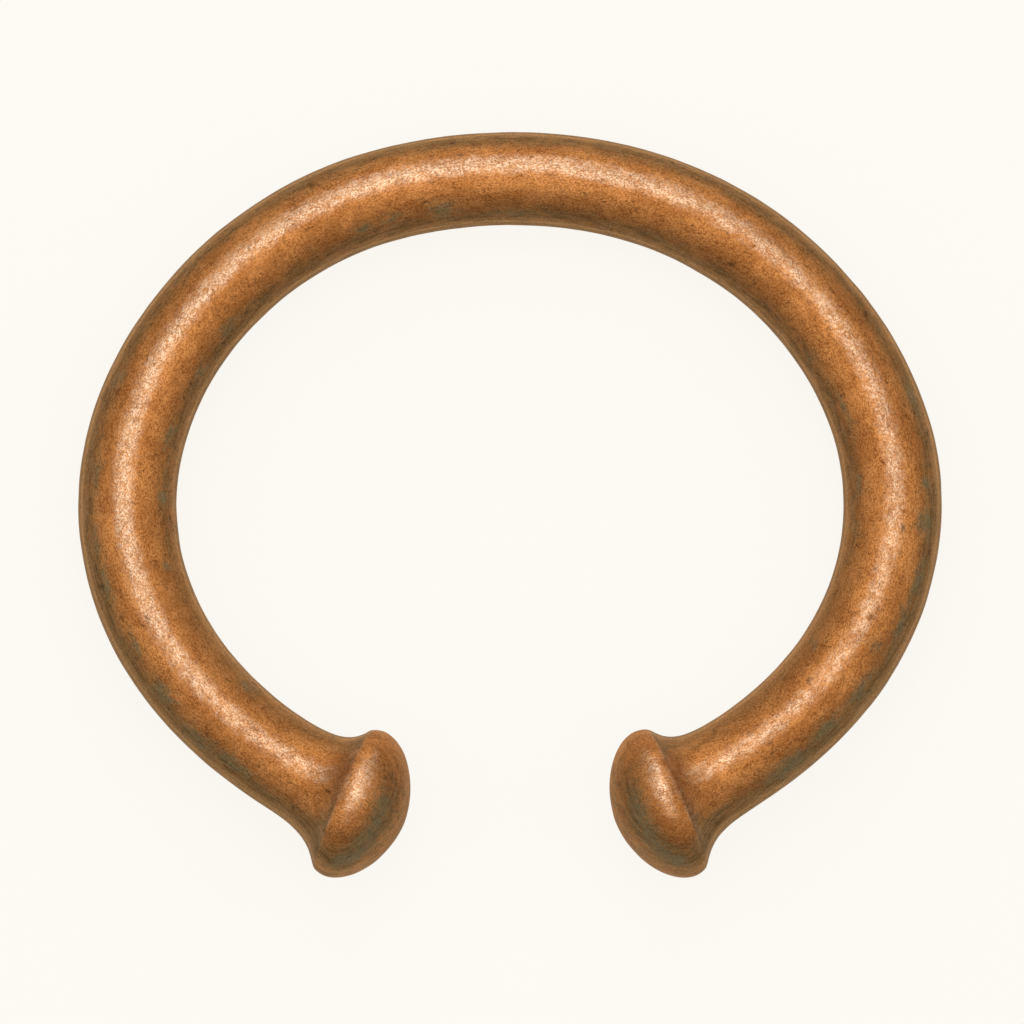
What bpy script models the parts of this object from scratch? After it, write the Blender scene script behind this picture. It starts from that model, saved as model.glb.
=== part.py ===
"""A manilla: one open hoop of cast copper bar whose two ends flare like trumpets and close in low domes.

The hoop lies down on its back and on its two ends, with its mouth towards -Y. The origin is on the surface that it
lies on, under the middle of its box. Metres, +Z up.
"""

import math

import bmesh
import bpy
from mathutils import Matrix, Vector

# The hoop: the line through the middle of the bar is half an ellipse behind its widest line and part of one in front
HOOP_WIDTH = 0.0700
BACK_REACH = 0.0265
FRONT_REACH = 0.02576
BACK_FULLNESS = 0.00016
END_SPACING = 0.02645

# The bar, thickest where the hoop is widest. A higher swell keeps the thick stretch closer to the widest line
GAUGE_BACK = 0.00754
GAUGE_SIDE = 0.00796
GAUGE_END = 0.00764
BACK_SWELL = 8
FRONT_SWELL = 4

# The trumpet: it opens by the same share over each stretch of its length, and stands out more on the hoop's outside
TRUMPET_MOUTH = 0.01222
TRUMPET_GROWTH = 0.00138
OUTWARD_SHIFT = 0.00062
SHIFT_GROWTH = 0.00243
TURN_OUT = math.radians(1.7)
TURN_UP = math.radians(2.5)

# The dome that closes each end
RIM_DIAMETER = 0.01266
RIM_DEPTH = 0.00098
DOME_HEIGHT = 0.00428
DOME_ROUNDNESS = 1.81

# What long wear has taken off where the hoop rests
WORN_DEPTH = 0.00006

# How finely the surface is faceted
SIDES = 32
BAR_STEP = 0.0024
TRUMPET_STEPS = 8
TRUMPET_SPAN = 4.5
RIM_STEPS = 2
DOME_STEPS = 9

COPPER_COLOUR = (0.478, 0.197, 0.064, 1.0)
COPPER_ROUGHNESS = 0.38


def remove_everything():
    """Empties the scene that the file opens with."""
    for thing in list(bpy.data.objects):
        bpy.data.objects.remove(thing, do_unlink=True)


def copper():
    """Worn cast copper under a thin brown skin."""
    material = bpy.data.materials.new("worn_cast_copper")
    material.use_nodes = True
    shader = material.node_tree.nodes["Principled BSDF"]
    shader.inputs["Base Color"].default_value = COPPER_COLOUR
    shader.inputs["Roughness"].default_value = COPPER_ROUGHNESS
    shader.inputs["Metallic"].default_value = 1.0
    return material


def half_width():
    """From the hoop's middle to the line through the bar, where the hoop is widest."""
    return (HOOP_WIDTH - GAUGE_SIDE) / 2


def hoop_point(angle):
    """Point on the middle line, angle 0 at the back and pi at the front, positive towards +X.

    Two half ellipses of one width. The back one is pushed out a little between its middle and its sides, because a
    bar bent round a former keeps straighter shoulders.
    """
    reach = BACK_REACH if math.cos(angle) > 0 else FRONT_REACH
    point = Vector((half_width() * math.sin(angle), reach * math.cos(angle), 0))
    if math.cos(angle) > 0:
        point += point.normalized() * BACK_FULLNESS * math.sin(4 * angle) * math.sin(2 * angle)
    return point


def hoop_direction(angle):
    """Unit vector along the middle line, towards growing angle."""
    step = 1e-5
    return (hoop_point(angle + step) - hoop_point(angle - step)).normalized()


def bar_radius(angle):
    """Half the gauge of the plain bar: it swells smoothly from the back to the sides, and thins again in front."""
    far, swell = (GAUGE_BACK, BACK_SWELL) if math.cos(angle) > 0 else (GAUGE_END, FRONT_SWELL)
    return (far + (GAUGE_SIDE - far) * math.sin(angle) ** swell) / 2


def end_angle():
    """Angle where the trumpet meets the dome, so that the two ends stand END_SPACING apart."""
    return math.pi - math.asin(END_SPACING / 2 / half_width())


def trumpet_radius(angle, before):
    """Radius at a distance before the dome: the bar's own, and a flare that grows by a constant share."""
    flare = (TRUMPET_MOUTH - GAUGE_END) / 2 * math.exp(-before / TRUMPET_GROWTH)
    return bar_radius(angle) + flare


def dome_radius(beyond):
    """Radius at a distance beyond the trumpet: a rolled rim, then a dome that is a superellipse of revolution."""
    if beyond < RIM_DEPTH:
        roll = (RIM_DIAMETER - TRUMPET_MOUTH) / 2
        return RIM_DIAMETER / 2 - roll * (1 - beyond / RIM_DEPTH) ** 2
    height = (beyond - RIM_DEPTH) / DOME_HEIGHT
    return RIM_DIAMETER / 2 * (1 - height**DOME_ROUNDNESS) ** (1 / DOME_ROUNDNESS)


def bar_sections():
    """(angle, distance before the end) of each ring from the back to the end, finer where the trumpet opens."""
    last = end_angle()
    count = 400
    angles = [last * i / count for i in range(count + 1)]
    points = [hoop_point(a) for a in angles]
    lengths = [0.0]
    for one, two in zip(points, points[1:]):
        lengths.append(lengths[-1] + (two - one).length)
    whole = lengths[-1]

    def angle_at(length):
        place = next(i for i in range(count) if lengths[i + 1] >= length - 1e-12)
        share = (length - lengths[place]) / (lengths[place + 1] - lengths[place])
        return angles[place] + (angles[place + 1] - angles[place]) * share

    trumpet = TRUMPET_SPAN * TRUMPET_GROWTH
    plain = whole - trumpet
    steps = max(2, round(plain / BAR_STEP))
    befores = [whole - plain * i / steps for i in range(steps + 1)]
    befores += [trumpet * (1 - i / TRUMPET_STEPS) ** 1.6 for i in range(1, TRUMPET_STEPS + 1)]
    return [(angle_at(whole - before), before) for before in befores]


def ring(centre, outward, upward, radius):
    """Corners of one round section, starting on the hoop's outside and going over the top."""
    turns = [2 * math.pi * i / SIDES for i in range(SIDES)]
    return [centre + (outward * math.cos(t) + upward * math.sin(t)) * radius for t in turns]


def section_axes(angle, share):
    """(along, outward, upward) of a section: the hoop's own direction, turned by a share of TURN_OUT and TURN_UP."""
    up = Vector((0, 0, 1))
    level = hoop_direction(angle)
    level = level * math.cos(TURN_OUT * share) + up.cross(level) * math.sin(TURN_OUT * share)
    along = level * math.cos(TURN_UP * share) + up * math.sin(TURN_UP * share)
    outward = up.cross(level)
    return along, outward, along.cross(outward)


def end_rings():
    """Rings of the +X half, from the back to the tip of the dome, and the tip."""
    rings = []
    for angle, before in bar_sections():
        share = math.exp(-before / SHIFT_GROWTH)
        along, outward, upward = section_axes(angle, share)
        rise = TURN_UP * SHIFT_GROWTH * share
        centre = hoop_point(angle) + outward * OUTWARD_SHIFT * share + Vector((0, 0, rise))
        rings.append(ring(centre, outward, upward, trumpet_radius(angle, before)))
    rim = [RIM_DEPTH * i / RIM_STEPS for i in range(1, RIM_STEPS + 1)]
    dome = [RIM_DEPTH + DOME_HEIGHT * math.sin(math.pi / 2 * i / DOME_STEPS) for i in range(1, DOME_STEPS)]
    for beyond in rim + dome:
        rings.append(ring(centre + along * beyond, outward, upward, dome_radius(beyond)))
    return rings, centre + along * (RIM_DEPTH + DOME_HEIGHT)


def mirrored(point):
    """The point on the other side of the hoop."""
    return Vector((-point.x, point.y, point.z))


def skin(mesh, rings, tip):
    """Rings bridged one to the next down both halves, from one tip to the other."""
    half = [[mesh.verts.new(p) for p in points] for points in rings]
    other = [[mesh.verts.new(mirrored(p)) for p in points] for points in rings[1:]]
    loops = half[::-1] + other
    for one, two in zip(loops, loops[1:]):
        for i in range(SIDES):
            j = (i + 1) % SIDES
            mesh.faces.new((one[i], one[j], two[j], two[i]))
    for loop, point in ((loops[0], tip), (loops[-1], mirrored(tip))):
        end = mesh.verts.new(point)
        for i in range(SIDES):
            mesh.faces.new((loop[i], loop[(i + 1) % SIDES], end))
    bmesh.ops.recalc_face_normals(mesh, faces=mesh.faces)


def lay_down(mesh):
    """Turns the hoop about X until its back and its ends rest on one level, and sets that level at Z = 0."""
    for _ in range(12):
        back = min((v.co for v in mesh.verts if v.co.y > 0), key=lambda p: p.z)
        front = min((v.co for v in mesh.verts if v.co.y < 0), key=lambda p: p.z)
        slope = math.atan2(front.z - back.z, back.y - front.y)
        bmesh.ops.rotate(mesh, verts=mesh.verts, cent=(0, 0, 0), matrix=Matrix.Rotation(slope, 3, "X"))
    lowest = min(v.co.z for v in mesh.verts)
    middle = (min(v.co.y for v in mesh.verts) + max(v.co.y for v in mesh.verts)) / 2
    bmesh.ops.translate(mesh, verts=mesh.verts, vec=(0, -middle, -lowest - WORN_DEPTH))


def wear_flat(mesh):
    """Takes off what would lie below Z = 0, and closes the flats that this leaves."""
    everything = mesh.verts[:] + mesh.edges[:] + mesh.faces[:]
    bmesh.ops.bisect_plane(mesh, geom=everything, plane_co=(0, 0, 0), plane_no=(0, 0, 1), clear_inner=True)
    bmesh.ops.holes_fill(mesh, edges=[e for e in mesh.edges if e.is_boundary], sides=0)
    bmesh.ops.recalc_face_normals(mesh, faces=mesh.faces)


def manilla():
    """The whole casting, in one piece, lying down."""
    mesh = bmesh.new()
    rings, tip = end_rings()
    skin(mesh, rings, tip)
    lay_down(mesh)
    wear_flat(mesh)
    data = bpy.data.meshes.new("manilla")
    mesh.to_mesh(data)
    mesh.free()
    data.materials.append(copper())
    data.shade_smooth()
    data.set_sharp_from_angle(angle=math.radians(25))
    casting = bpy.data.objects.new("manilla", data)
    bpy.context.scene.collection.objects.link(casting)
    return casting


remove_everything()
manilla()
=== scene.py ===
"""The looks of the manilla: a cast copper hoop, worn bright on its crown with a painted highlight, brown and
green on its flanks with painted shade.

It lies on a pale floor under soft light, and the camera looks straight down on it. Metres, +Z up.
"""

import math

import bpy
import numpy as np

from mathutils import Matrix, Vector


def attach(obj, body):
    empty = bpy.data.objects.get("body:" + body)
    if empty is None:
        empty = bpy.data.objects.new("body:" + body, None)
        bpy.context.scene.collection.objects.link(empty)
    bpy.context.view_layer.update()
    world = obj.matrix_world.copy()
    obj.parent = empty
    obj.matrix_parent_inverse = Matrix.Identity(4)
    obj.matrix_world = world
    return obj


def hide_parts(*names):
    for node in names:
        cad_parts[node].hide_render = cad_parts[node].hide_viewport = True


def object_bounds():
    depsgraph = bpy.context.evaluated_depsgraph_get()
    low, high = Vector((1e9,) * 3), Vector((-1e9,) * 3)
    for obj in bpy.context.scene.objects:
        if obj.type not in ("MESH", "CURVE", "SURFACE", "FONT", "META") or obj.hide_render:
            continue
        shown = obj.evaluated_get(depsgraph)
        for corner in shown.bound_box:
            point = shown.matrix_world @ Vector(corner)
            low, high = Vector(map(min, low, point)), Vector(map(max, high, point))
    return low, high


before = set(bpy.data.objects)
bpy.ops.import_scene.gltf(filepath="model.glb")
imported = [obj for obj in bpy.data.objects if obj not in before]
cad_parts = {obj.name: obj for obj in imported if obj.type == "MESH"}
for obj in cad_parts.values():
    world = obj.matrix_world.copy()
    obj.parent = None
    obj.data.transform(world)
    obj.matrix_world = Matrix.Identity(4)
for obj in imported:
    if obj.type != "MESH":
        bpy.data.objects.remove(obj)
cad_low, cad_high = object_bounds()

MM = 0.001
UP = np.array([0.0, 0.0, 1.0])

# The casting's own sizes, the same as the solid's
HOOP_WIDTH = 70.0 * MM
BACK_REACH = 26.5 * MM
FRONT_REACH = 25.76 * MM
BACK_FULLNESS = 0.16 * MM
END_SPACING = 26.45 * MM
GAUGE_BACK = 7.54 * MM
GAUGE_SIDE = 7.96 * MM
GAUGE_END = 7.64 * MM
BACK_SWELL = 8
FRONT_SWELL = 4
TRUMPET_MOUTH = 12.22 * MM
OUTWARD_SHIFT = 0.62 * MM
SHIFT_GROWTH = 2.43 * MM
TURN_OUT = math.radians(1.7)
TURN_UP = math.radians(2.5)
RIM_DIAMETER = 12.66 * MM
RIM_DEPTH = 0.98 * MM
DOME_HEIGHT = 4.28 * MM
DOME_ROUNDNESS = 1.81
WORN_DEPTH = 0.06 * MM

# From the hoop's middle to the line through the bar, where the hoop is widest
HALF_WIDTH = (HOOP_WIDTH - GAUGE_SIDE) / 2

# The lip is rounder than the solid's, and its flare a little fuller towards the mouth. The rim's parabola
# goes on behind the mouth by a share of its depth
LIP_MOUTH = 12.75 * MM
LIP_GROWTH = 1.30 * MM
LIP_ROUND = 0.14 * MM
RIM_BACK_SHARE = 0.6

# How finely the skin is drawn. The rings of a trumpet stand closer towards its mouth
AROUND = 124
BAR_STEP = 0.245 * MM
TRUMPET_SPAN = 3.6 * MM
TRUMPET_RINGS = 28
TRUMPET_CROWDING = 1.4
RIM_RINGS = 12
DOME_RINGS = 26
LINE_STEPS = 20000
LAYING_ROUNDS = 12

# The casting's low lumps: their size and their height in mm
LUMPS = ((5.2, 0.030), (2.3, 0.018), (1.1, 0.009), (0.55, 0.004))

# Its pits: how many, their least and most half width, their depth, how far they are drawn out, and their lean
PIT_COUNT = 70
PIT_LEAST = 0.10 * MM
PIT_MOST = 0.24 * MM
PIT_DEPTH = 0.06 * MM
PIT_STRETCH = 2.4
PIT_LEAN = 0.6

# The bare line on the crown, which is also a painted highlight where the key light gleams: its middle's lean
# from straight up towards +Y, how much more of that on the domes, its lean outwards and towards -X, its width
# on the bar, and the share added to that on the domes
LIT_WORN_LEAN = math.radians(12.5)
LIT_WORN_DOME_LEAN = math.radians(5)
LIT_WORN_OUTWARD = math.radians(2.5)
LIT_WORN_LEFT = math.radians(1)
LIT_WORN_REACH = math.radians(14)
LIT_WORN_DOME_WIDER = 1.15

# It fades where the normal turns along the bar by the first of these, less the second on the domes, where its
# middle lies towards the tip by the third
LIT_WORN_ALONG, LIT_WORN_DOME_SHORTER, LIT_WORN_TIPWARD = 0.90, 0.55, 0.08

# How much weaker the bare line and its painted highlight are towards +X and towards -Y, how much stronger on
# the domes, and how strong they are on the neck and on the lip's edge
LIT_WORN_LESS_RIGHT, LIT_WORN_LESS_FRONT, LIT_WORN_DOME_MORE = 0.20, 0.12, 0.25
LIT_WORN_NECK, LIT_WORN_EDGE = 0.55, 0.4

# Distances before the mouth: between the first two the bar's looks turn into the dome's. Then come the lip's
# edge, where the hollow behind it ends, and how far the rubbed neck with its painted highlight and the hollow
# reach
DOME_FROM, DOME_TO = 0.2 * MM, -0.4 * MM
LIP_EDGE = 0.02 * MM
CREASE_FROM, CREASE_TO = 0.14 * MM, -0.02 * MM
NECK_REACH = 1.2 * MM
HOLLOW_REACH = 1.1 * MM

# How wide the lip's edge is rubbed bare as a painted highlight, and how wide the patina is gone from it
EDGE_LIT_BARE, EDGE_LIT_CLEAN = 0.09 * MM, 0.10 * MM

# Angles along the hoop between which its front begins, for the patina and for the tan
PATINA_SHADE_FRONT = (math.radians(60), math.radians(115))
TAN_FRONT = (math.radians(90), math.radians(120))

# Levels, as the upward part of the normal: the patina grows between the first two, thickens between the next
# two as the flanks turn steep, and thins out between the next two, below the widest line. Its darkening of
# the flanks seen from above is partly painted shade. From the last one down the strokes follow the arc
SETTLED_FROM, SETTLED_TO = 0.98, 0.56
THICK_FROM, THICK_TO = 0.36, 0.12
BELOW_FROM, BELOW_TO = 0.08, -0.30
STEEP = 0.45

# A dome's level is lowered by a share of how far the normal leans towards +Y, counted from a lean
DOME_LEAN, DOME_LEAN_FROM = 0.2, -0.3

# The patina's thickness: at most, on the outer and the inner flank, and what these gain and lose in front.
# The flank that faces -Y, away from the light, gets more, so this is partly painted shade
PATINA_SHADE_MOST = 1.7
PATINA_SHADE_OUTER, PATINA_SHADE_INNER = 0.75, 0.85
OUTER_MORE, INNER_LESS = 0.25, 0.35

# What it gains on steep flanks, what the domes take off that, and what it loses low on the domes, below the
# widest line and on the lip's edge. Then what it is in the hollow, inside and by how much more outside
THICK_MORE, THICK_DOME_LESS = 0.4, 0.45
LOW_DOME_LESS, BELOW_LESS, EDGE_LESS = 0.35, 0.62, 1.2
HOLLOW_INNER, HOLLOW_OUTER_MORE = 0.5, 0.6

# The tan line on the flanks, a painted rim light just inside the outline as seen from above: its level and
# half width, and how much lower it lies inside and on the domes. Then the strengths of the line, of the
# painted light round it and of the tan on the inner flank in front, painted light on the flank that faces the
# light
TAN_LEVEL, TAN_WIDTH = 0.375, 0.042
TAN_INNER_LOWER, TAN_DOME_LOWER = 0.03, 0.05
TAN_LINE, TAN_ROUND, TAN_INNER_FRONT = 0.52, 0.28, 0.12

# Verdigris on the domes, in a crescent away from the light that is partly painted shade: its crescent's
# level, half width and strength. Then its strength on the underside
CRESCENT_LEVEL, CRESCENT_WIDTH, CRESCENT_GREEN = 0.68, 0.14, 0.8
UNDERSIDE_GREEN = 0.30

# Where verdigris shows: place along the hoop in degrees, share across it from inner -1 to outer +1, the
# patch's half length and half width in mm, and how strong it is
VERDIGRIS = (
    (-137, 0.62, 2.4, 0.45, 0.9), (-131, 0.74, 2.0, 0.5, 0.6), (-123, 0.60, 1.5, 0.5, 0.9),
    (-114, 0.56, 1.0, 0.35, 0.9), (-103, 0.62, 1.8, 0.35, 0.8), (-96, 0.64, 1.5, 0.3, 0.6),
    (-86, 0.62, 2.2, 0.3, 0.7), (-70, 0.70, 0.9, 0.4, 0.7), (-131, -0.76, 1.6, 0.4, 0.7),
    (-103, -0.64, 0.5, 0.3, 0.9), (-89, -0.74, 1.1, 0.35, 0.9), (-76, -0.67, 1.3, 0.35, 0.9),
    (-63, -0.74, 1.1, 0.35, 0.7), (-53, -0.64, 1.3, 0.45, 0.8), (-33, -0.51, 0.5, 0.35, 0.5),
    (-24, -0.60, 1.0, 0.4, 0.8), (-19, -0.58, 1.0, 0.45, 0.8), (-11, -0.59, 1.1, 0.5, 1.0),
    (2, -0.78, 2.2, 0.35, 0.5), (22, -0.74, 2.0, 0.3, 0.4), (73, 0.78, 1.3, 0.35, 0.8),
    (87, 0.67, 0.5, 0.3, 1.0), (93, 0.63, 1.1, 0.6, 1.0), (102, 0.70, 1.6, 0.35, 0.8),
    (109, 0.66, 1.6, 0.35, 0.9), (115, 0.45, 0.7, 0.8, 0.6), (122, 0.64, 1.6, 0.4, 1.0),
    (130, 0.62, 1.8, 0.5, 1.0), (138, 0.66, 2.2, 0.6, 1.0), (60, -0.70, 1.2, 0.3, 0.5),
    (72, -0.60, 2.4, 0.25, 0.7), (86, -0.69, 1.3, 0.3, 0.8), (95, -0.72, 1.0, 0.35, 0.6),
    (120, -0.69, 0.8, 0.35, 0.7),
)

# The patches have soft edges, so they are drawn this much longer and wider
PATCH_LONGER = 1.1
PATCH_WIDER = 1.3

# Noise patterns in the copper: the size of their lumps in mm across the bar and along it, detail, roughness
# of the detail, and distortion. The casting's real grain is finer than a pixel, so grain and specks are drawn
# at twice its size. All are longer along the bar, because hands and sand rub along it
PATTERNS = {
    "grain": (0.11, 0.17, 1.0, 0.5, 0.4),
    "speck": (0.12, 0.17, 1.0, 0.5, 0.3),
    "glint": (0.50, 0.80, 2.0, 0.6, 0.6),
    "worm": (0.60, 0.90, 1.0, 0.5, 1.8),
    "mottle": (2.0, 3.2, 3.0, 0.6, 0.8),
    "cloud": (0.8, 1.6, 2.0, 0.55, 1.0),
    "stroke": (0.17, 2.6, 2.0, 0.6, 0.5),
    "fleck": (0.40, 0.60, 1.5, 0.5, 1.2),
    "bloom": (0.35, 0.80, 3.0, 0.65, 0.8),
}

# Strokes run level along the bar, and this share of the way outwards makes the two flanks differ
STROKE_OUTWARD = 0.1

# Ramps over the patterns: what each reads, where it starts and ends, and its values there
RAMPS = {
    "tint": ("mottle", 0.38, 0.62, 0.0, 1.0),
    "grained": ("grain", 0.38, 0.60, 0.70, 0.0),
    "specked": ("speck", 0.42, 0.58, 0.30, 1.0),
    "glinting": ("glint", 0.36, 0.64, 0.60, 1.12),
    "streak": ("stroke", 0.42, 0.60, 0.0, 1.0),
    "flecked": ("fleck", 0.63, 0.76, 0.0, 0.48),
    "clouded": ("cloud", 0.30, 0.70, 0.75, 1.25),
    "stroked": ("stroke", 0.34, 0.66, 0.91, 1.07),
    "bloomed": ("bloom", 0.30, 0.70, -0.35, 0.35),
}

# Ramps over the layers, in the same way: the brown patina and its deep tone, the verdigris, the grain and the
# bare metal under the patina, scratches by their distance, the rubbed crown with its painted highlight, and
# the dull verdigris
BROWN_RAMP = (0.0, 0.95, 0.0, 1.0)
DEEP_RAMP = (1.1, 2.1, 0.0, 0.6)
GREEN_RAMP = (0.05, 1.10, 0.0, 0.80)
SOFT_RAMP = (0.0, 1.0, 1.0, 0.75)
CLEAR_RAMP = (0.2, 1.0, 1.0, 0.3)
SCRATCH_RAMP = (0.0, 0.03, 0.2, 1.0)
RUBBED_LIT_RAMP = (0.10, 1.05, 0.0, 1.0)
DULL_RAMP = (0.0, 0.85, 1.0, 0.2)

# A node that mixes colours: its settings, and which of its sockets are the factor and the two colours. The
# other settings ease a ramp's ends
COLOUR_MIX = {"output": 2, "data_type": "RGBA"}
FACTOR, UNDER, OVER = 0, 6, 7
SMOOTH = {"interpolation_type": "SMOOTHSTEP"}

# Colours of the oxide skin, its grain, bare metal, which also paints the crown's highlight, the patina, which
# also paints shade on the flanks, what lies in it (a tan that paints rim light, verdigris and pits), and
# metal seen at a low angle
SKIN_DARK, SKIN_LIGHT = "#B6763E", "#CC8A4D"
GRAIN, BARE_AND_LIT = "#B3A294", "#EFD1AF"
BROWN_DARK, BROWN_LIGHT, BROWN_DEEP = "#7C5C37", "#95724A", "#4A341C"
TAN_RIM_LIGHT, GREEN, PIT = "#CD9E69", "#6B6344", "#2C1B0C"
GRAZING = "#F2E5D6"

# Metallic and roughness of the oxide skin and of the patina, how much smoother bare metal is, the level of
# the specular, and the wax's refraction and roughness
METALLIC_SKIN, METALLIC_BROWN = 0.97, 0.92
ROUGH_SKIN, ROUGH_BROWN = 0.54, 0.58
BARE_POLISH = 0.16
SPECULAR_LEVEL = 0.25
WAX_IOR, WAX_ROUGHNESS = 1.8, 0.30

# How much shows of bare metal with its painted highlight, of the wax on it and of a pit's dark where they are
# strongest
BARE_LIT_SHARE, WAX_SHARE, PIT_SHARE = 0.57, 0.54, 0.65

# The relief's height, and the parts of pits and strokes in it
RELIEF_HEIGHT = 0.010 * MM
RELIEF_PIT, RELIEF_STROKE = -1.2, 0.7

# The photograph's frame: its width in pixels, the hoop's width there, and the middle of the hoop's box. Then
# how far above the floor the camera is
PICTURE = 1024
HOOP_PIXELS = 864.3
MIDDLE_PIXEL = (510.0, 504.5)
CAMERA_HEIGHT = 1.2

# The floor reaches this far each way, and it and the surround glow
FLOOR_HALF = 4.0
FLOOR_COLOUR, FLOOR_LIGHT = "#484745", "#FFFCF6"
FLOOR_GLOW = 0.91
SURROUND_GLOW = 0.32

# The lights, all at one distance: name, width, lean from overhead and turn clockwise from +Y in degrees,
# power in watts, and colour
LIGHT_DISTANCE = 1.0
SOFTBOXES = (
    ("key_light", 0.32, 25.5, -5, 1.06, "#FFFCF8"),
    ("back_light", 0.8, 65, 0, 3.3, "#FFFFFF"),
    ("top_light", 1.0, 0, 0, 4.2, "#FFFFFF"),
    ("side_light", 1.0, 50, 90, 2.4, "#FFFFFF"),
    ("side_light", 1.0, 50, -90, 2.4, "#FFFFFF"),
)

rng = np.random.default_rng(1748)
NOISE_SIDE = 32
NOISE_TABLE = rng.uniform(-1, 1, (NOISE_SIDE, NOISE_SIDE, NOISE_SIDE))


def smooth_step(low, high, x):
    """0 up to low, 1 from high on, and 3t² - 2t³ between them."""
    t = np.clip((x - low) / (high - low), 0, 1)
    return t * t * (3 - 2 * t)


def lump(points, size):
    """Smooth noise from -1 to 1: random numbers at the corners of cubes of a size, blended by 3t² - 2t³."""
    place = points / size
    cell = np.floor(place).astype(int)
    t = place - cell
    t = t * t * (3 - 2 * t)
    total = np.zeros(points.shape[:-1])
    for corner in np.ndindex(2, 2, 2):
        share = np.prod(np.where(corner, t, 1 - t), axis=-1)
        x, y, z = np.moveaxis((cell + corner) % NOISE_SIDE, -1, 0)
        total += share * NOISE_TABLE[x, y, z]
    return total


def hoop_line(angle):
    """Middle line of the bar, 0 at the back: two half ellipses, the back one pushed out by sin 4a sin 2a."""
    behind = np.cos(angle) > 0
    reach = np.where(behind, BACK_REACH, FRONT_REACH)
    x, y = HALF_WIDTH * np.sin(angle), reach * np.cos(angle)
    push = np.where(behind, BACK_FULLNESS * np.sin(4 * angle) * np.sin(2 * angle), 0) / np.hypot(x, y)
    return np.stack([x * (1 + push), y * (1 + push), 0 * x], axis=-1)


def bar_sections():
    """Signed angle and length from the back of each ring of the bar, and its distance before a mouth."""
    last = math.pi - math.asin(END_SPACING / (2 * HALF_WIDTH))
    angles = np.linspace(0, last, LINE_STEPS + 1)
    pieces = np.linalg.norm(np.diff(hoop_line(angles), axis=0), axis=1)
    lengths = np.concatenate([[0], np.cumsum(pieces)])
    whole = lengths[-1]
    plain = np.linspace(0, whole - TRUMPET_SPAN, round((whole - TRUMPET_SPAN) / BAR_STEP) + 1)
    left = 1 - np.linspace(0, 1, TRUMPET_RINGS + 1)[1:]
    length = np.concatenate([plain, whole - TRUMPET_SPAN * left ** TRUMPET_CROWDING])
    angle = np.interp(length, lengths, angles)
    angle = np.concatenate([-angle[:0:-1], angle])
    length = np.concatenate([-length[:0:-1], length])
    return angle, length, whole - np.abs(length)


def section_axes(angle, share):
    """Along, outward and upward of each ring: the hoop's own, turned by a share of TURN_OUT and TURN_UP."""
    step = 1e-4
    level = hoop_line(angle + step) - hoop_line(angle - step)
    heading = np.arctan2(level[:, 1], level[:, 0]) + np.sign(angle) * TURN_OUT * share
    level = np.stack([np.cos(heading), np.sin(heading), 0 * heading], axis=1)
    outward = np.stack([-np.sin(heading), np.cos(heading), 0 * heading], axis=1)
    rise = (np.sign(angle) * TURN_UP * share)[:, None]
    along = level * np.cos(rise) + UP * np.sin(rise)
    return along, outward, np.cross(along, outward)


def bar_radius(angle):
    """Half the gauge of the plain bar, which thins from the sides by a power of sin a."""
    behind = np.cos(angle) > 0
    far = np.where(behind, GAUGE_BACK, GAUGE_END)
    swell = np.where(behind, BACK_SWELL, FRONT_SWELL)
    return (far + (GAUGE_SIDE - far) * np.abs(np.sin(angle)) ** swell) / 2


def lip_radius(bar, beyond):
    """Radius near an end, at a distance beyond its mouth.

    The flare is the bar's radius and a part that grows by a constant share, and the rolled rim is a parabola.
    The lower of the two counts, blended as -w log(exp(-a/w) + exp(-b/w)), so the lip between them is round.
    """
    flare = bar + (LIP_MOUTH - GAUGE_END) / 2 * np.exp(beyond / LIP_GROWTH)
    short = 1 - np.clip(beyond, -RIM_BACK_SHARE * RIM_DEPTH, None) / RIM_DEPTH
    rim = (RIM_DIAMETER - (RIM_DIAMETER - TRUMPET_MOUTH) * short ** 2) / 2
    return -LIP_ROUND * np.logaddexp(-flare / LIP_ROUND, -rim / LIP_ROUND)


def cap_profile():
    """Distance beyond the mouth and radius of each ring of the rim, and of the dome, a superellipse."""
    rim = RIM_DEPTH * np.arange(1, RIM_RINGS + 1) / RIM_RINGS
    dome = DOME_HEIGHT * np.sin(math.pi / 2 * np.arange(1, DOME_RINGS) / DOME_RINGS)
    rim_radius = lip_radius(GAUGE_END / 2, rim)
    dome_radius = RIM_DIAMETER / 2 * (1 - (dome / DOME_HEIGHT) ** DOME_ROUNDNESS) ** (1 / DOME_ROUNDNESS)
    return np.concatenate([rim, RIM_DEPTH + dome]), np.concatenate([rim_radius, dome_radius])


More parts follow.
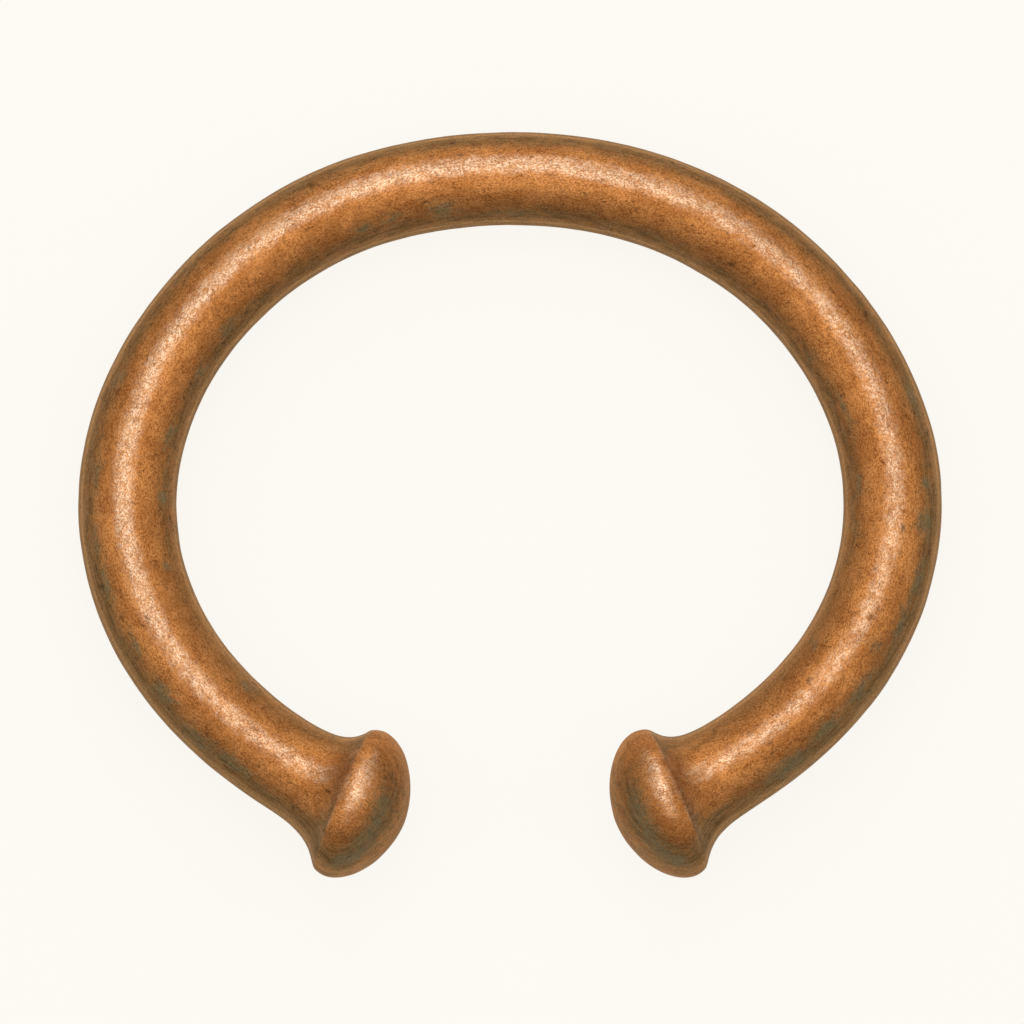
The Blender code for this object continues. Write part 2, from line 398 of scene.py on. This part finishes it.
def casting_grid():
    """The whole skin as rings of AROUND points, and where each of them is.

    Each ring is a circle across the hoop line, which leans outwards and up towards the mouths. Beyond them
    the line goes straight on to the tips. It gives the grid, the same grid on a bar made straight, each
    ring's distance before the mouth and angle along the hoop, the points' turn round the bar, and the tips.
    """
    angle, length, before = bar_sections()
    share = np.exp(-before / SHIFT_GROWTH)
    along, outward, upward = section_axes(angle, share)
    centre = hoop_line(angle) + outward * (OUTWARD_SHIFT * share)[:, None]
    centre += UP * (TURN_UP * SHIFT_GROWTH * share)[:, None]
    radius = lip_radius(bar_radius(angle), -before)
    beyond, cap_radius = cap_profile()

    def capped(values, first, last):
        """The bar's values with those of both domes put before and after them."""
        return np.concatenate([first[::-1], values, last])

    ones = np.ones(len(beyond))
    centres = capped(centre, centre[0] - along[0] * beyond[:, None], centre[-1] + along[-1] * beyond[:, None])
    outwards = capped(outward, ones[:, None] * outward[0], ones[:, None] * outward[-1])
    upwards = capped(upward, ones[:, None] * upward[0], ones[:, None] * upward[-1])
    radii = capped(radius, cap_radius, cap_radius)
    lengths = capped(length, length[0] - beyond, length[-1] + beyond)
    befores = capped(before, -beyond, -beyond)
    angles = capped(angle, angle[0] * ones, angle[-1] * ones)
    whole = RIM_DEPTH + DOME_HEIGHT
    tips = np.array([centre[0] - along[0] * whole, centre[-1] + along[-1] * whole])

    turn = 2 * math.pi * np.arange(AROUND) / AROUND
    wheel = outwards[:, None] * np.cos(turn)[:, None] + upwards[:, None] * np.sin(turn)[:, None]
    grid = centres[:, None] + wheel * radii[:, None, None]
    x, y = radii[:, None] * np.cos(turn), radii[:, None] * np.sin(turn)
    straight = np.stack(np.broadcast_arrays(x, y, lengths[:, None]), axis=-1)
    return grid, straight, befores, angles, turn, tips


def grid_normals(grid):
    """Outward unit normal of each grid point: across product of the differences along and around."""
    along = np.gradient(grid, axis=0)
    around = np.roll(grid, -1, axis=1) - np.roll(grid, 1, axis=1)
    normal = np.cross(around, along)
    return normal / np.linalg.norm(normal, axis=-1, keepdims=True)


def pitting(straight):
    """Depth, and how dark it is, of the pits strewn over the bar made straight.

    A pit is a bowl, 1 - d² up to its rim, where d is the distance from its middle in a frame that leans by a
    random angle and is drawn out up to PIT_STRETCH times.
    """
    sunk = np.zeros(straight.shape[:-1])
    dark = np.zeros(straight.shape[:-1])
    reach = straight[..., 2].max()
    radius = np.hypot(straight[..., 0], straight[..., 1])
    turn = np.arctan2(straight[..., 1], straight[..., 0])
    for _ in range(PIT_COUNT):
        at, spin = rng.uniform(-reach, reach), rng.uniform(-math.pi, math.pi)
        half = PIT_LEAST + (PIT_MOST - PIT_LEAST) * rng.random() ** 2
        drawn, lean = rng.uniform(1, PIT_STRETCH), rng.normal(0, PIT_LEAN)
        du = straight[..., 2] - at
        near = np.where(np.abs(du[:, 0]) < half * drawn)[0]
        du = du[near]
        dv = radius[near] * ((turn[near] - spin + math.pi) % (2 * math.pi) - math.pi)
        d2 = ((du * math.cos(lean) + dv * math.sin(lean)) / (half * drawn)) ** 2
        d2 += ((dv * math.cos(lean) - du * math.sin(lean)) / half) ** 2
        bowl = np.clip(1 - d2, 0, None)
        sunk[near] = np.maximum(sunk[near], bowl * PIT_DEPTH * half / PIT_MOST)
        dark[near] = np.maximum(dark[near], np.sqrt(bowl))
    return sunk, dark


def lit_lip_edge(before, turn, width):
    """The lip's edge on the hoop's inner side, where a highlight is painted: exp(-d²) of the distance from
    it, in widths.
    """
    return np.exp(-((before - LIP_EDGE) / width) ** 2)[:, None] * smooth_step(0.4, -0.4, np.cos(turn))


def lit_worn_line(grid, normal, turn, before, on_dome):
    """How bare the copper is rubbed, and where a highlight is painted with it: the most of the crown, the top
    of the neck and the lip's edge.

    On the crown it is exp(-d²), d the angle round the bar between the normal and a way that leans from
    straight up halfway towards the key light, so that it lies where the light's gleam falls. That fades by
    exp(-d²) of how far the normal turns along the bar, sooner on the domes, and it is weaker towards +X and
    -Y.
    The neck is rubbed and lit by exp(-d) of the distance before the mouth.
    """
    middle = grid.mean(axis=1)[:, None]
    along = np.gradient(middle, axis=0)
    along /= np.linalg.norm(along, axis=-1, keepdims=True)
    turned = (normal * along).sum(axis=-1, keepdims=True)
    tipward = turned[..., 0] * np.sign(middle[..., 0]) - LIT_WORN_TIPWARD * on_dome
    level = normal - along * turned

    outward = grid[..., :2] / np.linalg.norm(grid[..., :2], axis=-1, keepdims=True)
    outward = outward * math.tan(LIT_WORN_OUTWARD) * (1 - on_dome[..., None])
    way = np.concatenate([outward, np.ones_like(outward[..., :1])], axis=-1)
    way[..., 0] -= math.tan(LIT_WORN_LEFT)
    way[..., 1] += np.tan(LIT_WORN_LEAN + LIT_WORN_DOME_LEAN * on_dome)
    way -= along * (way * along).sum(axis=-1, keepdims=True)
    apart = (level * way).sum(axis=-1) / np.linalg.norm(level, axis=-1) / np.linalg.norm(way, axis=-1)
    apart = np.arccos(np.clip(apart, -1, 1)) / (LIT_WORN_REACH * (1 + LIT_WORN_DOME_WIDER * on_dome))

    crown = np.exp(-apart ** 2 - (tipward / (LIT_WORN_ALONG - LIT_WORN_DOME_SHORTER * on_dome)) ** 2)
    less = 1 - LIT_WORN_LESS_RIGHT * smooth_step(0.2, 0.9, grid[..., 0] / (HOOP_WIDTH / 2))
    less -= LIT_WORN_LESS_FRONT * smooth_step(0.0, -0.8, grid[..., 1] / FRONT_REACH)
    crown *= less * (1 + LIT_WORN_DOME_MORE * on_dome)
    neck = LIT_WORN_NECK * np.exp(-np.clip(before, 0, None) / NECK_REACH)[:, None] * (1 - on_dome)
    neck = neck * smooth_step(0.45, 0.8, np.sin(turn))
    return np.maximum(np.maximum(crown, neck), LIT_WORN_EDGE * lit_lip_edge(before, turn, EDGE_LIT_BARE))


def dome_level(normal, facing):
    """How high on a dome a point counts: the normal's upward part, less a share of its lean towards +Y."""
    return facing - DOME_LEAN * (normal[..., 1] - DOME_LEAN_FROM)


def patina_and_painted_shade(normal, facing, angle, turn, before, on_dome):
    """How far the brown patina has settled, up to its most. Where it darkens the flanks it is partly painted
    shade.

    It grows from the crown down to the flanks, more on the inner one, but in front more on the outer one, so
    more on the flank that faces -Y, away from the light, which is painted shade. It is thickest where they
    turn steep, and thins out again below the widest line. On the domes it keeps to the side away from +Y and
    the light, as painted shade too. In the hollow behind the lip it grows by exp(-d) of the distance up to
    the crease, most on the outer side, and the lip's edge is cleared of it, which paints a highlight there.
    """
    front = smooth_step(*PATINA_SHADE_FRONT, np.abs(angle))[:, None]
    share = np.where(np.cos(turn) > 0, PATINA_SHADE_OUTER + OUTER_MORE * front, PATINA_SHADE_INNER - INNER_LESS * front)
    share = share * (1 - on_dome) + on_dome * smooth_step(0.90, -0.20, normal[..., 1])
    low = smooth_step(0.65, 0.40, dome_level(normal, facing))
    settled = smooth_step(SETTLED_FROM, SETTLED_TO, facing) * share * (1 - LOW_DOME_LESS * on_dome * low)
    thick = smooth_step(THICK_FROM, THICK_TO, facing) * (THICK_MORE - THICK_DOME_LESS * on_dome)
    below = 1 - BELOW_LESS * smooth_step(BELOW_FROM, BELOW_TO, facing)
    hollow = np.exp(-np.clip(before, 0, None) / HOLLOW_REACH) * smooth_step(CREASE_TO, CREASE_FROM, before)
    hollow = hollow[:, None] * (HOLLOW_INNER + HOLLOW_OUTER_MORE * smooth_step(-0.4, 0.6, np.cos(turn)))
    patina_and_shade = np.minimum((settled + thick) * below + hollow, PATINA_SHADE_MOST)
    return patina_and_shade - EDGE_LESS * lit_lip_edge(before, turn, EDGE_LIT_CLEAN)


def tan_rim_light(facing, angle, turn, on_dome):
    """How much the flanks' patina turns to tan as a painted rim light: exp(-d²) of the distance from a line
    above the widest one.

    Round that line a little tan is painted too, up to where the flanks turn steep and down to the underside,
    and so is the whole inner flank in front, which faces the light. The domes get less.
    """
    inner = np.cos(turn) < 0
    front = smooth_step(*TAN_FRONT, np.abs(angle))[:, None]
    level = TAN_LEVEL - TAN_INNER_LOWER * inner - TAN_DOME_LOWER * on_dome
    line = np.exp(-((facing - level) / TAN_WIDTH) ** 2)
    line *= np.where(inner, 0.85 + 0.15 * front, 1 - 0.5 * front) * (1 - 0.4 * on_dome)
    round_it = smooth_step(0.62, 0.40, facing) * smooth_step(-0.6, -0.2, facing)
    inner_front = front * inner * smooth_step(0.95, 0.60, facing) * (1 - on_dome)
    round_it = round_it * (1 - 0.2 * inner - 0.45 * on_dome)
    return TAN_LINE * line + TAN_ROUND * round_it + TAN_INNER_FRONT * inner_front


def patches(normal, facing, angle, turn, before, on_dome):
    """How much verdigris there is: a patch falls off as exp(-d²), d the distance in half lengths and widths.

    On the domes it lies in a crescent on the lower slope, away from +Y and the light, where it is partly
    painted shade. The underside has an even thin layer.
    """
    crescent = np.exp(-((dome_level(normal, facing) - CRESCENT_LEVEL) / CRESCENT_WIDTH) ** 2)
    total = CRESCENT_GREEN * smooth_step(0.30, -0.25, normal[..., 1]) * crescent
    total *= smooth_step(0.6 * MM, 2.0 * MM, -before)[:, None]
    for place, share, long, wide, strength in VERDIGRIS:
        along = HALF_WIDTH * (angle[:, None] - math.radians(place)) / (PATCH_LONGER * long * MM)
        aside = GAUGE_SIDE / 2 * (np.cos(turn) - share) / (PATCH_WIDER * wide * MM)
        patch = strength * np.exp(-along ** 2 - aside ** 2)
        total = np.maximum(total, patch * (normal[..., 2] > 0) * (1 - on_dome))
    return total + UNDERSIDE_GREEN * smooth_step(-0.2, -0.5, normal[..., 2])


def down_the_flank(facing):
    """How far down from the crown a normal with that upward part is, for a radius of 1.

    Down to STEEP it is the distance seen from above, the normal's level part, and from there on the arc's own
    length times STEEP, so that strokes on the steep flanks are as wide as the others.
    """
    steep = math.asin(STEEP)
    lean = np.arcsin(facing)
    upper = np.cos(np.maximum(lean, steep))
    under = math.cos(steep) - np.cos(np.minimum(lean, -steep))
    return upper + STEEP * (steep - np.clip(lean, -steep, steep)) + under


def laid_down(points):
    """Turns the hoop about X until its back and ends rest on one level, and sets it where the solid is."""
    for _ in range(LAYING_ROUNDS):
        behind = points[..., 1] > 0
        back = points[behind][points[behind][:, 2].argmin()]
        front = points[~behind][points[~behind][:, 2].argmin()]
        slope = math.atan2(front[2] - back[2], back[1] - front[1])
        y, z = points[..., 1].copy(), points[..., 2].copy()
        points[..., 1] = y * math.cos(slope) - z * math.sin(slope)
        points[..., 2] = y * math.sin(slope) + z * math.cos(slope)
    points[..., 1] += (cad_low.y + cad_high.y) / 2 - (points[..., 1].min() + points[..., 1].max()) / 2
    points[..., 2] -= points[..., 2].min() + WORN_DEPTH
    points[..., 2] = np.maximum(points[..., 2], 0)
    return points


def skin_faces(rings):
    """Quads between neighbouring rings, and triangles from the outermost rings to the tips, facing outwards.

    Points are numbered ring by ring, with the two tips after them.
    """
    spoke = np.arange(AROUND)
    after = (spoke + 1) % AROUND
    here = AROUND * np.arange(rings - 1)[:, None]
    there = here + AROUND
    end = AROUND * (rings - 1)
    first_tip, last_tip = np.full(AROUND, AROUND * rings), np.full(AROUND, AROUND * rings + 1)
    quads = np.stack([here + after, there + after, there + spoke, here + spoke], axis=-1).reshape(-1, 4)
    first_fan = np.stack([after, spoke, first_tip], axis=-1)
    last_fan = np.stack([end + spoke, end + after, last_tip], axis=-1)
    return quads.tolist() + first_fan.tolist() + last_fan.tolist()


def add_field(mesh, name, values):
    """Gives the mesh a number or a vector for each grid point. A tip gets the mean of the ring beside it."""
    kind, slot = ("FLOAT", "value") if values.ndim == 2 else ("FLOAT_VECTOR", "vector")
    flat = values.reshape(-1, *values.shape[2:])
    tips = np.stack([values[0].mean(axis=0), values[-1].mean(axis=0)])
    layer = mesh.attributes.new(name, kind, "POINT")
    layer.data.foreach_set(slot, np.concatenate([flat, tips]).ravel().astype(np.float32))


def build_casting():
    """The hoop's skin: the smooth form, moved along its normals by the casting's lumps and pits.

    The fields say what its material shows where, and shelf and straight where the patterns lie.
    """
    grid, straight, before, angle, turn, tips = casting_grid()
    normal = grid_normals(grid)
    relief = np.zeros(grid.shape[:-1])
    for shift, (size, height) in enumerate(LUMPS):
        relief += height * MM * lump(grid + shift, size * MM)
    sunk, dark = pitting(straight)
    grid = grid + normal * (relief - sunk)[..., None]

    on_dome = smooth_step(DOME_FROM, DOME_TO, before)[:, None]
    facing = np.sin(turn) * (1 - on_dome) + normal[..., 2] * on_dome
    shelf = down_the_flank(np.sin(turn)) * (1 - on_dome) + down_the_flank(normal[..., 2]) * on_dome
    fields = {
        "shelf": shelf * GAUGE_SIDE / 2,
        "worn": lit_worn_line(grid, normal, turn, before, on_dome),
        "pit": dark,
        "patina_and_shade": patina_and_painted_shade(normal, facing, angle, turn, before, on_dome),
        "lit_and_rubbed": tan_rim_light(facing, angle, turn, on_dome),
        "verdigris": patches(normal, facing, angle, turn, before, on_dome),
        "straight": straight,
    }

    mesh = bpy.data.meshes.new("manilla_casting")
    points = laid_down(np.concatenate([grid.reshape(-1, 3), tips]))
    mesh.from_pydata(points, [], skin_faces(len(grid)))
    mesh.shade_smooth()
    for name, values in fields.items():
        add_field(mesh, name, values)
    piece = bpy.data.objects.new("manilla_casting", mesh)
    bpy.context.scene.collection.objects.link(piece)
    return piece


def linear(code):
    """Linear colour of an sRGB hex code."""
    values = [int(code[i:i + 2], 16) / 255 for i in (1, 3, 5)]
    return [v / 12.92 if v <= 0.04045 else ((v + 0.055) / 1.055) ** 2.4 for v in values] + [1.0]


def add_node(tree, kind, inputs=(), output=0, **settings):
    """Adds a node and gives one of its outputs.

    Settings are its own properties. Inputs, by name or in order, give each socket a value or what feeds it.
    """
    node = tree.nodes.new(kind)
    for name, value in settings.items():
        setattr(node, name, value)
    for socket, value in inputs.items() if isinstance(inputs, dict) else enumerate(inputs):
        if isinstance(value, bpy.types.NodeSocket):
            tree.links.new(value, node.inputs[socket])
        else:
            node.inputs[socket].default_value = value
    return node.outputs[output] if node.outputs else node


def new_material(name):
    """An empty node material with its output, and its tree."""
    material = bpy.data.materials.new(name)
    material.use_nodes = True
    material.node_tree.nodes.clear()
    return material, material.node_tree


def copper_patterns(tree, shelf):
    """The noise patterns on the bar made straight, and the ramps over them. Strokes follow the shelf."""
    straight = add_node(tree, "ShaderNodeAttribute", output="Vector", attribute_name="straight")
    level = add_node(tree, "ShaderNodeVectorMath", [straight, (STROKE_OUTWARD, 0, 1)], operation="MULTIPLY")
    aside = add_node(tree, "ShaderNodeCombineXYZ", {"X": shelf})
    contour = add_node(tree, "ShaderNodeVectorMath", [level, aside], operation="ADD")
    noise = {}
    for name, (across, along, detail, roughness, distortion) in PATTERNS.items():
        scale = (1 / (across * MM), 1 / (across * MM), 1 / (along * MM))
        vector = contour if name == "stroke" else straight
        spot = add_node(tree, "ShaderNodeMapping", {"Vector": vector, "Scale": scale})
        noise[name] = add_node(tree, "ShaderNodeTexNoise", {
            "Vector": spot, "Scale": 1.0, "Detail": detail, "Roughness": roughness, "Distortion": distortion})
    eased = {}
    for name, (source, *limits) in RAMPS.items():
        eased[name] = add_node(tree, "ShaderNodeMapRange", [noise[source], *limits], **SMOOTH)
    return noise, eased


def worn_cast_copper():
    """Copper poured in an open mould and handled for years.

    Most of it keeps an orange-brown oxide skin with a fine dark grain. The crown is rubbed through to bare
    metal in pale specks and scratches, laid where the key light gleams so that they paint its highlight, and
    wax from many hands makes those gleam white. An olive-brown patina has settled on the flanks, more on the
    side away from the light as painted shade, and in the hollows behind the lips, with grey-green traces in
    it. A tan line inside the outline paints rim light. Pits are dark.
    """
    material, tree = new_material("worn_cast_copper")
    field = {name: add_node(tree, "ShaderNodeAttribute", output="Fac", attribute_name=name)
             for name in ("shelf", "worn", "patina_and_shade", "lit_and_rubbed", "verdigris", "pit")}
    noise, eased = copper_patterns(tree, field["shelf"])

    # The patina, which also paints shade on the flanks, in clouds and strokes, and its tone, streaked and
    # deeper where it is thick
    thick = add_node(tree, "ShaderNodeMath", [field["patina_and_shade"], eased["clouded"]], operation="MULTIPLY")
    thick = add_node(tree, "ShaderNodeMath", [thick, eased["stroked"]], operation="MULTIPLY")
    brown = add_node(tree, "ShaderNodeMapRange", [thick, *BROWN_RAMP], **SMOOTH)
    deep = add_node(tree, "ShaderNodeMapRange", [thick, *DEEP_RAMP])
    tone = add_node(tree, "ShaderNodeMix", {
        FACTOR: eased["streak"], UNDER: linear(BROWN_DARK), OVER: linear(BROWN_LIGHT)}, **COLOUR_MIX)
    tone = add_node(tree, "ShaderNodeMix", {
        FACTOR: deep, UNDER: tone, OVER: linear(BROWN_DEEP)}, **COLOUR_MIX)

    # The tan that paints rim light and the lit flank, and the verdigris with its uneven edges
    tan = add_node(tree, "ShaderNodeMath", [field["lit_and_rubbed"], eased["stroked"]], operation="MULTIPLY")
    green = add_node(tree, "ShaderNodeMath", [field["verdigris"], eased["stroked"]], operation="MULTIPLY")
    green = add_node(tree, "ShaderNodeMath", [green, eased["bloomed"]], operation="ADD")
    green = add_node(tree, "ShaderNodeMapRange", [green, *GREEN_RAMP], **SMOOTH)

    # The dark grain, which the patina softens
    soft = add_node(tree, "ShaderNodeMapRange", [brown, *SOFT_RAMP])
    soft = add_node(tree, "ShaderNodeMath", [soft, eased["clouded"]], operation="MULTIPLY")
    grained = add_node(tree, "ShaderNodeMath", [eased["grained"], soft], operation="MULTIPLY")

    # Bare metal and its painted highlight in specks, broken by fine crooked scratches, and less of it under
    # the patina
    scratch = add_node(tree, "ShaderNodeMath", [noise["worm"], 0.5], operation="SUBTRACT")
    scratch = add_node(tree, "ShaderNodeMath", [scratch], operation="ABSOLUTE")
    scratch = add_node(tree, "ShaderNodeMapRange", [scratch, *SCRATCH_RAMP], **SMOOTH)
    lit_and_rubbed = add_node(tree, "ShaderNodeMath", [eased["glinting"], field["worn"]], operation="MULTIPLY")
    lit_and_rubbed = add_node(tree, "ShaderNodeMapRange", [lit_and_rubbed, *RUBBED_LIT_RAMP], **SMOOTH)
    clear = add_node(tree, "ShaderNodeMapRange", [brown, *CLEAR_RAMP])
    bare_and_lit = eased["specked"]
    for share in (scratch, lit_and_rubbed, clear):
        bare_and_lit = add_node(tree, "ShaderNodeMath", [bare_and_lit, share], operation="MULTIPLY")
    shown = add_node(tree, "ShaderNodeMath", [bare_and_lit, BARE_LIT_SHARE], operation="MULTIPLY")
    wax = add_node(tree, "ShaderNodeMath", [bare_and_lit, WAX_SHARE], operation="MULTIPLY")

    pit = add_node(tree, "ShaderNodeMath", [field["pit"], PIT_SHARE], operation="MULTIPLY")
    pit = add_node(tree, "ShaderNodeMath", [pit, eased["flecked"]], operation="MAXIMUM")

    # Each layer lies on those before it: how much of it shows, its colour, and how it is blended
    colour = add_node(tree, "ShaderNodeMix", {
        FACTOR: eased["tint"], UNDER: linear(SKIN_DARK), OVER: linear(SKIN_LIGHT)}, **COLOUR_MIX)
    layers = ((brown, tone, "MIX"), (tan, linear(TAN_RIM_LIGHT), "MIX"), (green, linear(GREEN), "MIX"),
              (grained, linear(GRAIN), "MULTIPLY"), (shown, linear(BARE_AND_LIT), "MIX"), (pit, linear(PIT), "MIX"))
    for share, layer, blend in layers:
        colour = add_node(tree, "ShaderNodeMix", {
            FACTOR: share, UNDER: colour, OVER: layer}, blend_type=blend, **COLOUR_MIX)

    metallic = add_node(tree, "ShaderNodeMapRange", [brown, 0.0, 1.0, METALLIC_SKIN, METALLIC_BROWN])
    dull = add_node(tree, "ShaderNodeMapRange", [green, *DULL_RAMP])
    metallic = add_node(tree, "ShaderNodeMath", [metallic, dull], operation="MULTIPLY")
    roughness = add_node(tree, "ShaderNodeMapRange", [brown, 0.0, 1.0, ROUGH_SKIN, ROUGH_BROWN])
    polish = add_node(tree, "ShaderNodeMath", [bare_and_lit, BARE_POLISH], operation="MULTIPLY")
    roughness = add_node(tree, "ShaderNodeMath", [roughness, polish], operation="SUBTRACT")

    # The relief: grain, specks and strokes stand up, and pits are sunk
    height = add_node(tree, "ShaderNodeMath", [noise["grain"], noise["speck"]], operation="ADD")
    for part, share in ((pit, RELIEF_PIT), (noise["stroke"], RELIEF_STROKE)):
        part = add_node(tree, "ShaderNodeMath", [part, share], operation="MULTIPLY")
        height = add_node(tree, "ShaderNodeMath", [height, part], operation="ADD")
    bump = add_node(tree, "ShaderNodeBump", {"Height": height, "Strength": 1.0, "Distance": RELIEF_HEIGHT})

    shader = add_node(tree, "ShaderNodeBsdfPrincipled", {
        "Base Color": colour, "Metallic": metallic, "Roughness": roughness, "Normal": bump,
        "Specular IOR Level": SPECULAR_LEVEL, "Specular Tint": linear(GRAZING),
        "Coat Weight": wax, "Coat IOR": WAX_IOR, "Coat Roughness": WAX_ROUGHNESS, "Coat Normal": bump})
    add_node(tree, "ShaderNodeOutputMaterial", {"Surface": shader})
    return material


def opal_acrylic():
    """Opal acrylic sheet of a light table: it glows evenly, so shadows on it are faint."""
    material, tree = new_material("opal_acrylic")
    shader = add_node(tree, "ShaderNodeBsdfPrincipled", {
        "Base Color": linear(FLOOR_COLOUR), "Roughness": 0.9, "Specular IOR Level": 0.1,
        "Emission Color": linear(FLOOR_LIGHT), "Emission Strength": FLOOR_GLOW})
    add_node(tree, "ShaderNodeOutputMaterial", {"Surface": shader})
    return material


def build_floor():
    """A level square under the hoop, wide enough for every view."""
    corners = [(x * FLOOR_HALF, y * FLOOR_HALF, 0) for x, y in ((-1, -1), (1, -1), (1, 1), (-1, 1))]
    mesh = bpy.data.meshes.new("floor")
    mesh.from_pydata(corners, [], [(0, 1, 2, 3)])
    mesh.materials.append(opal_acrylic())
    floor = bpy.data.objects.new("floor", mesh)
    bpy.context.scene.collection.objects.link(floor)


def add_softbox(name, width, lean, turn, power, tint):
    """A square light that faces the hoop from LIGHT_DISTANCE, leant from overhead towards a turn from +Y."""
    data = bpy.data.lights.new(name, "AREA")
    data.shape = "SQUARE"
    data.size = width
    data.energy = power
    data.color = linear(tint)[:3]
    light = bpy.data.objects.new(name, data)
    lean, turn = math.radians(lean), math.radians(turn)
    way = Vector((math.sin(lean) * math.sin(turn), math.sin(lean) * math.cos(turn), math.cos(lean)))
    light.location = way * LIGHT_DISTANCE
    light.rotation_euler = way.to_track_quat("Z", "Y").to_euler()
    light.visible_camera = False
    bpy.context.scene.collection.objects.link(light)


def light_scene():
    """A small soft key light, a broad one behind the hoop, more overhead and at the sides, and a surround."""
    for softbox in SOFTBOXES:
        add_softbox(*softbox)
    world = bpy.data.worlds.new("surround")
    world.use_nodes = True
    world.node_tree.nodes["Background"].inputs["Color"].default_value = linear("#FFFFFF")
    world.node_tree.nodes["Background"].inputs["Strength"].default_value = SURROUND_GLOW
    bpy.context.scene.world = world
    bpy.context.scene.view_settings.view_transform = "Standard"


def place_camera():
    """Straight above the hoop, where height and lens give the photograph's size and place."""
    data = bpy.data.cameras.new("camera")
    pixel = HOOP_WIDTH / HOOP_PIXELS
    level = (cad_low.z + cad_high.z) / 2
    data.lens = data.sensor_width * (CAMERA_HEIGHT - level) / (pixel * PICTURE)
    camera = bpy.data.objects.new("camera", data)
    x, y = (PICTURE / 2 - MIDDLE_PIXEL[0]) * pixel, (MIDDLE_PIXEL[1] - PICTURE / 2) * pixel
    camera.location = (x, y, CAMERA_HEIGHT)
    bpy.context.scene.collection.objects.link(camera)
    bpy.context.scene.camera = camera


place_camera()
casting = build_casting()
casting.data.materials.append(worn_cast_copper())
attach(casting, "root")
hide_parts("manilla")
build_floor()
light_scene()
